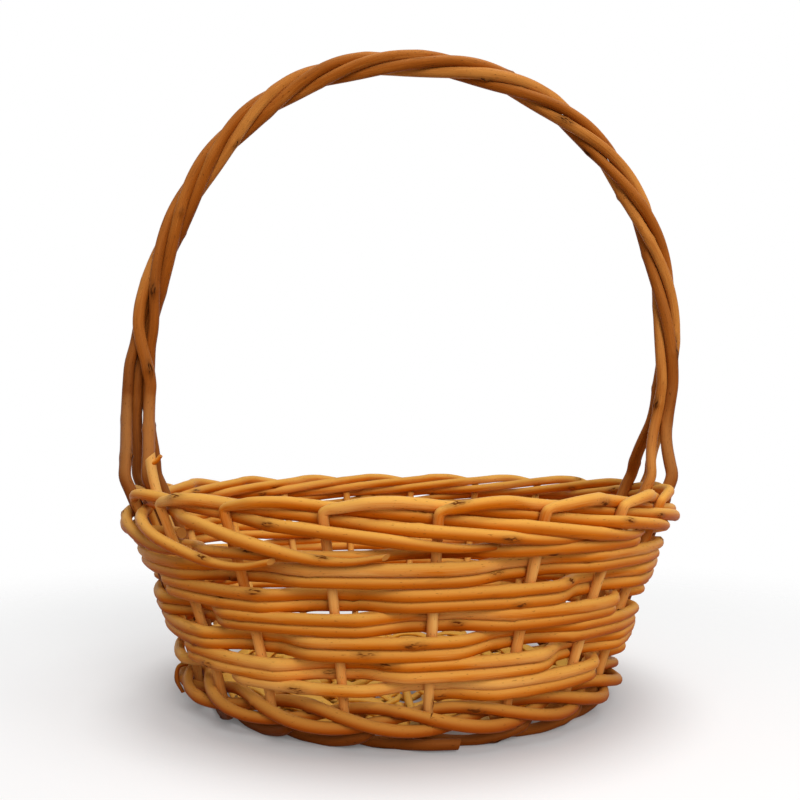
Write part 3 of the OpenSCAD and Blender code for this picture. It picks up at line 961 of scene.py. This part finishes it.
# Handle
def arch_point(t):
    """Middle of the bundle on the arch, whose left shoulder is rounder than its right one."""
    power = 2 / (LEFT_ROUND if np.cos(t) < 0 else RIGHT_ROUND)
    rise = np.abs(np.sin(t)) ** power
    x = HANDLE_WIDTH / 2 * np.sign(np.cos(t)) * np.abs(np.cos(t)) ** power
    x = x + 4 * HANDLE_SWAY * rise * (1 - rise)
    return np.array([x, 0, HANDLE_SPRING + (HANDLE_PEAK - HANDLE_SPRING) * rise])


def bundle_point(centre, out, turn):
    """Place of a rod in the bundle, which leans in at the left leg with its front rods spread apart."""
    left = float(centre[0] < 0)
    spread = left * max(0.0, math.sqrt(2) * math.sin(turn))
    loose = 1 + BUNDLE_LOOSE * ease((LOOSE_TOP - centre[2]) / LOOSE_DROP) * spread
    lean = left * LEFT_SHIFT * math.exp(-(((centre[2] - SHIFT_HEIGHT) / SHIFT_REACH) ** 2))
    place = centre + np.array([lean, 0, 0])
    return place + BUNDLE_R * (math.cos(turn) * loose * out + math.sin(turn) * np.array([0, -1, 0]))


def quarter_turn(slot):
    return math.radians(45 + 90 * slot)


def leg_point(side, slot, z):
    """Point on a handle rod below the arch: from its place beside a stake into the bundle."""
    back = 0 if slot < 2 else 1
    stake = LEFT_STAKE + 1 - back if side < 0 else RIGHT_STAKE + back
    inside = 0 if slot in (0, 3) else LEG_INNER
    straight = RIM_HEIGHT + LEG_STRAIGHT
    low = wall_point(stake - LEG_SIDE / span_length(z), min(z, straight), inside)
    low = low + [0, 0, max(0, z - straight)]
    drop = (HANDLE_SPRING - z) / (HANDLE_SPRING - RIM_HEIGHT)
    x = side * (HANDLE_WIDTH / 2 - LEG_LEAN * drop**2) - HANDLE_SWAY / 2 * math.sin(math.pi * drop)
    high = bundle_point(np.array([x, 0, z]), np.array([side, 0, 0]), quarter_turn(slot))
    gather = LEFT_GATHER if side < 0 else RIGHT_GATHER
    return mix(low, high, ease((z - RIM_HEIGHT - LEG_CLEAR) / (gather - LEG_CLEAR)))


def make_handle():
    low = np.linspace(HANDLE_FOOT, RIM_HEIGHT + LEG_CLEAR, LEG_POINTS)
    high = np.linspace(RIM_HEIGHT + LEG_CLEAR, HANDLE_SPRING, GATHER_POINTS)[1:-1]
    leg = np.concatenate([low, high])
    for k in range(HANDLE_RODS):
        name = f"handle_rod_{k + 1}"
        rng = dice(name)
        right_slot = (k - HANDLE_QUARTERS) % HANDLE_RODS
        route = [leg_point(-1, k, z) for z in leg]
        for t in np.radians(np.linspace(180, 0, ARCH_POINTS)):
            turn = quarter_turn(k - HANDLE_QUARTERS * (1 - t / math.pi))
            route.append(bundle_point(arch_point(t), np.array([math.cos(t), 0, math.sin(t)]), turn))
        route += [leg_point(1, right_slot, z) for z in leg[::-1]]
        radius = taper(*HANDLE_RADII[k % 2])
        # The darker left foot of each handle rod is painted shade
        shape = rod(rng, np.array(route), radius, HANDLE_TINTS_AND_SHADE[k], first=(1, 0, 0), sides=HANDLE_SIDES)
        piece(f"{name}_twisted", [shape], BROWN, "brown_willow", name)


def make_peg():
    """Pale wedge peg, bent a little at its head, with the stub of a side twig."""
    rng = dice("handle_peg")
    u = LEFT_STAKE + 1 + (STAKE_D + HANDLE_D) / 2 / span_length(RIM_HEIGHT)
    side = -(WEAVE_SWING + (WEAVER_D + STAKE_D) / 2 + 4 * ROD_GAP)
    foot = wall_point(u, RIM_HEIGHT + PEG_RISE - PEG_LENGTH, side)
    head = wall_point(u, RIM_HEIGHT + PEG_RISE, side)
    share = np.linspace(0, 1, PEG_POINTS)[:, None]
    route = mix(foot, head, share) + PEG_BEND * share**3 * [1, 0, 0]
    peg = rod(rng, route, taper(*PEG_RADII), PEG_TINT, first=(1, 0, 0), cut=PEG_CUT)
    stub_route = route[-1] + STUB_START + STUB
    stub = rod(rng, stub_route, taper(*STUB_RADII), STUB_TINT, first=(0, 1, 0), sides=TWIG_SIDES)
    piece("handle_peg_rod", [peg, stub], NATURAL, "natural_willow", "handle_peg")


make_stakes()
make_weavers()
make_wales()
make_base()
make_foot()
make_handle()
make_peg()


# Floor that fades into the white backdrop; the camera sees it lighter away from the basket's foot
FLOOR_RADIUS = 0.60
FLOOR_SIDES = 96
FLOOR_FADE = (0.20, 0.57)
FLOOR_COLOUR = (0.60, 0.60, 0.60, 1)
FLOOR_ROUGHNESS = 0.9
FLOOR_GLOW = (0.08, 0.48)
GLOW_REACH = (0.09, 0.17)
WHITE = (1, 1, 1, 1)
WORLD_LIGHT = 0.30
BACKDROP = 1.0

# Lamps: place, size and power
LAMP_TARGET = (0, 0, 0.1)
LAMPS = {
    "top_softbox": ((0.25, -0.25, 1.35), 1.0, 5.8),
    "front_softbox": ((0.38, -1.33, 0.7), 0.8, 13.6),
}


def blended(nodes, links, share, first, second):
    node = add(nodes, "ShaderNodeMixShader")
    links.new(share, node.inputs[0])
    links.new(first.outputs[0], node.inputs[1])
    links.new(second.outputs[0], node.inputs[2])
    return node.outputs[0]


def make_floor():
    bpy.ops.mesh.primitive_circle_add(vertices=FLOOR_SIDES, radius=FLOOR_RADIUS, fill_type="NGON")
    floor = bpy.context.object
    floor.name = "floor"
    material = bpy.data.materials.new("floor")
    material.use_nodes = True
    nodes, links = material.node_tree.nodes, material.node_tree.links
    shader = nodes["Principled BSDF"]
    shader.inputs["Base Color"].default_value = FLOOR_COLOUR
    shader.inputs["Roughness"].default_value = FLOOR_ROUGHNESS
    shader.inputs["Specular IOR Level"].default_value = 0.0
    shader.inputs["Emission Color"].default_value = WHITE
    far = add(nodes, "ShaderNodeVectorMath", operation="LENGTH")
    links.new(add(nodes, "ShaderNodeTexCoord").outputs["Object"], far.inputs[0])

    def changing(*numbers):
        node = add(nodes, "ShaderNodeMapRange", interpolation_type="SMOOTHSTEP")
        for socket, number in zip(("From Min", "From Max", "To Min", "To Max"), numbers):
            node.inputs[socket].default_value = number
        links.new(far.outputs["Value"], node.inputs["Value"])
        return node.outputs[0]

    seen = add(nodes, "ShaderNodeMath", operation="MULTIPLY")
    links.new(changing(*GLOW_REACH, *FLOOR_GLOW), seen.inputs[0])
    links.new(add(nodes, "ShaderNodeLightPath").outputs["Is Camera Ray"], seen.inputs[1])
    links.new(seen.outputs[0], shader.inputs["Emission Strength"])
    clear = add(nodes, "ShaderNodeBsdfTransparent")
    blend = blended(nodes, links, changing(*FLOOR_FADE), shader, clear)
    links.new(blend, nodes["Material Output"].inputs["Surface"])
    floor.data.materials.append(material)


def make_world():
    """Soft light all round, before a backdrop that is seen, and mirrored, as white."""
    world = bpy.data.worlds.new("studio")
    bpy.context.scene.world = world
    world.use_nodes = True
    nodes, links = world.node_tree.nodes, world.node_tree.links
    light = nodes["Background"]
    white = add(nodes, "ShaderNodeBackground")
    for node, strength in ((light, WORLD_LIGHT), (white, BACKDROP)):
        node.inputs["Color"].default_value = WHITE
        node.inputs["Strength"].default_value = strength
    ray = add(nodes, "ShaderNodeLightPath")
    seen = ray.outputs["Is Camera Ray"]
    for kind in ("Is Transmission Ray", "Is Glossy Ray"):
        either = add(nodes, "ShaderNodeMath", operation="MAXIMUM")
        links.new(seen, either.inputs[0])
        links.new(ray.outputs[kind], either.inputs[1])
        seen = either.outputs[0]
    links.new(blended(nodes, links, seen, light, white), nodes["World Output"].inputs["Surface"])


def make_lamp(name, place, size, power):
    data = bpy.data.lights.new(name, "AREA")
    data.shape = "DISK"
    data.size = size
    data.energy = power
    lamp = bpy.data.objects.new(name, data)
    lamp.location = place
    lamp.rotation_euler = (Vector(LAMP_TARGET) - Vector(place)).to_track_quat("-Z", "Y").to_euler()
    bpy.context.scene.collection.objects.link(lamp)


make_floor()
make_world()
for lamp_name, lamp_values in LAMPS.items():
    make_lamp(lamp_name, *lamp_values)

# Camera, level with the upper part of the wall
CAMERA_AWAY = 0.467
CAMERA_HEIGHT = 0.1315
CAMERA_PITCH = math.radians(3.16)
PHOTO_SIZE = 800
PHOTO_FOCUS = 834
SENSOR = 36.0
CLIP_START = 0.01

camera_data = bpy.data.cameras.new("camera")
camera_data.sensor_width = SENSOR
camera_data.lens = PHOTO_FOCUS / PHOTO_SIZE * SENSOR
camera_data.clip_start = CLIP_START
camera = bpy.data.objects.new("camera", camera_data)
camera.location = (0, -CAMERA_AWAY, CAMERA_HEIGHT)
camera.rotation_euler = (math.pi / 2 + CAMERA_PITCH, 0, 0)
bpy.context.scene.collection.objects.link(camera)
bpy.context.scene.camera = camera
bpy.context.scene.view_settings.view_transform = "Standard"
